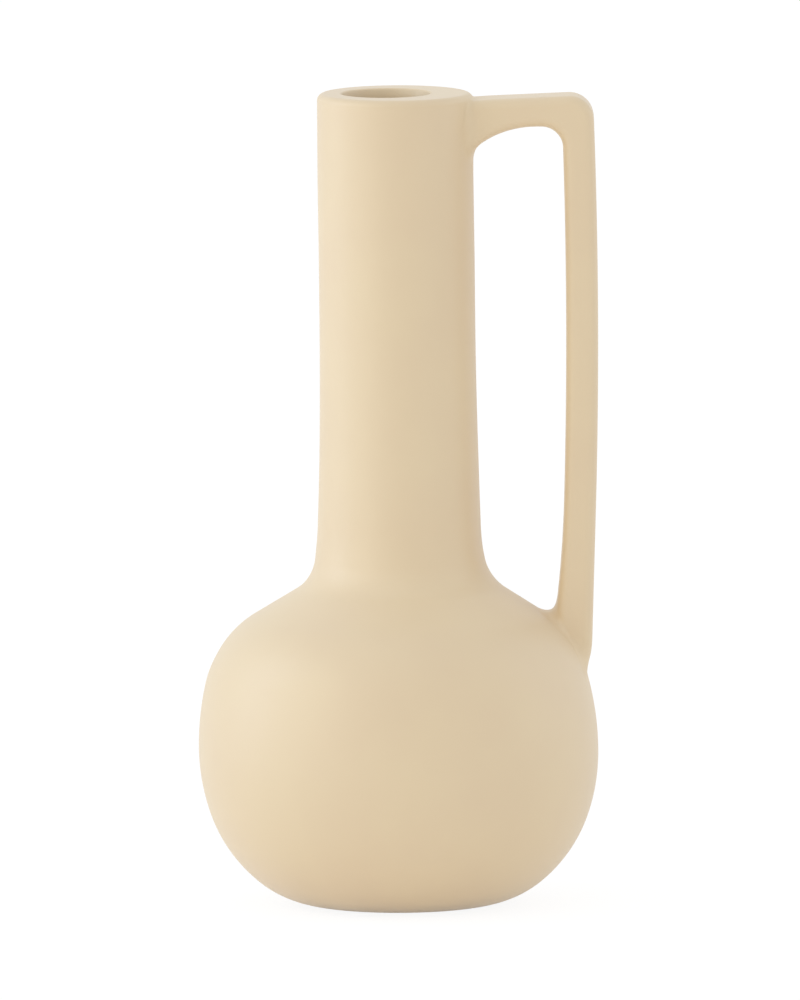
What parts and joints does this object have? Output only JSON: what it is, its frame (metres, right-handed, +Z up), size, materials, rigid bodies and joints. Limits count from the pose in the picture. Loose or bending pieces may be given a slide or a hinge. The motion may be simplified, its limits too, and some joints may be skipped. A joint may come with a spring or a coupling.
{
  "type": "one-handled ceramic bottle vase",
  "caption": "Tall ceramic bottle vase with a round belly, long straight neck, thick in-turned mouth and one squared strap handle.",
  "frame": {"origin": "on the vase's axis, in the plane of the foot ring that it stands on", "axes": "+Z up along the vase's axis, +X from the axis towards the handle"},
  "size_m": [0.1478, 0.147, 0.3],
  "materials": {
    "cream_glaze": "satin matte",
    "fired_slip": "matte"
  },
  "bodies": {
    "root": {"belly_bowl": "cream_glaze", "shoulder_dome": "cream_glaze", "neck_tube": "cream_glaze", "mouth_ring": "cream_glaze", "handle_strap": "cream_glaze", "waist_slip_joint": "fired_slip", "neck_slip_joint": "fired_slip", "mouth_slip_joint": "fired_slip", "handle_arm_slip_joint": "fired_slip", "handle_foot_slip_joint": "fired_slip"}
  },
  "joints": []
}
